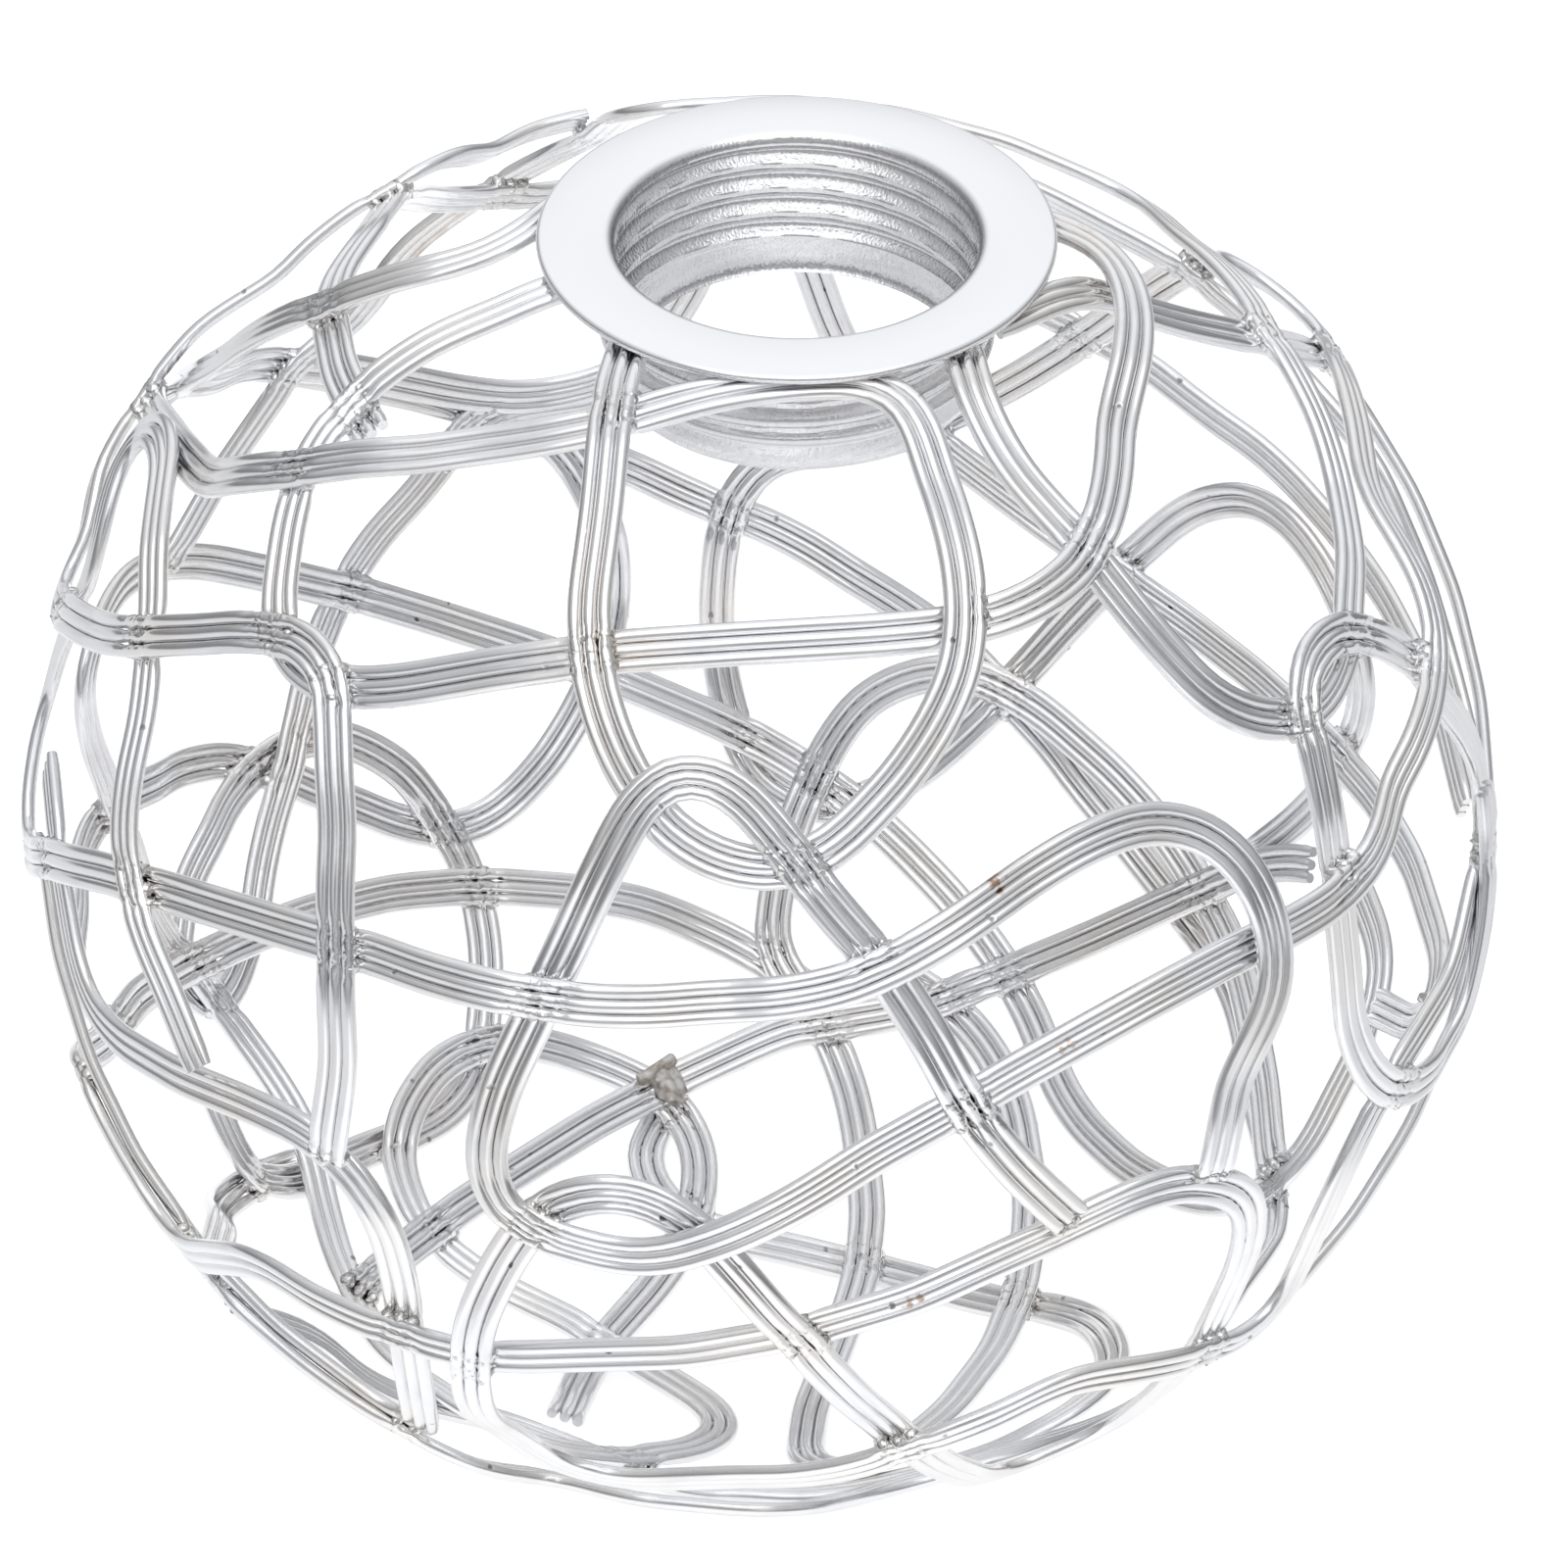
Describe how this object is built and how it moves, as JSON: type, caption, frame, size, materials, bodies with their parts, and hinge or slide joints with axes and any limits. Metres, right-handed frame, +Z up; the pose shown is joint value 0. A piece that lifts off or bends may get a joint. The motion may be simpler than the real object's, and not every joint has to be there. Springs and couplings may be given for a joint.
{
  "type": "wire globe lampshade",
  "caption": "Globe lampshade of bright wire bands bent at random over a sphere and welded at their crossings, with a threaded collar on top that takes a lampholder",
  "frame": {"origin": "on the collar axis, half way down the threaded collar", "axes": "+Z up along the collar axis, the pictured side towards -Y"},
  "size_m": [0.1185, 0.1207, 0.1118],
  "materials": {
    "wire": "bright chrome plated steel wire with small welds",
    "collar": "bright plated pressed steel, satin flange"
  },
  "bodies": {
    "root": {"shoulder_band_wire_1": "wire", "shoulder_band_wire_2": "wire", "shoulder_band_wire_3": "wire", "right_edge_band_wire_1": "wire", "right_edge_band_wire_2": "wire", "right_edge_band_wire_3": "wire", "right_shoulder_band_wire_1": "wire", "right_shoulder_band_wire_2": "wire", "right_shoulder_band_wire_3": "wire", "back_arch_band_wire_1": "wire", "back_arch_band_wire_2": "wire", "back_arch_band_wire_3": "wire", "back_low_band_wire_1": "wire", "back_low_band_wire_2": "wire", "back_low_band_wire_3": "wire", "back_oval_band_wire_1": "wire", "back_oval_band_wire_2": "wire", "back_oval_band_wire_3": "wire", "left_edge_band_wire_1": "wire", "left_edge_band_wire_2": "wire", "left_edge_band_wire_3": "wire", "low_band_wire_1": "wire", "low_band_wire_2": "wire", "low_band_wire_3": "wire", "back_diagonal_band_wire_1": "wire", "back_diagonal_band_wire_2": "wire", "back_diagonal_band_wire_3": "wire", "back_left_band_wire_1": "wire", "back_left_band_wire_2": "wire", "back_left_band_wire_3": "wire", "collar_band_wire_1": "wire", "collar_band_wire_2": "wire", "collar_band_wire_3": "wire", "oval_band_wire_1": "wire", "oval_band_wire_2": "wire", "oval_band_wire_3": "wire", "front_cross_band_wire_1": "wire", "front_cross_band_wire_2": "wire", "front_cross_band_wire_3": "wire", "back_right_band_wire_1": "wire", "back_right_band_wire_2": "wire", "back_right_band_wire_3": "wire", "base_band_wire_1": "wire", "base_band_wire_2": "wire", "base_band_wire_3": "wire", "back_drop_band_wire_1": "wire", "back_drop_band_wire_2": "wire", "back_drop_band_wire_3": "wire", "waist_band_wire_1": "wire", "waist_band_wire_2": "wire", "waist_band_wire_3": "wire", "left_drop_band_wire_1": "wire", "left_drop_band_wire_2": "wire", "left_drop_band_wire_3": "wire", "threaded_collar": "collar"}
  },
  "joints": []
}
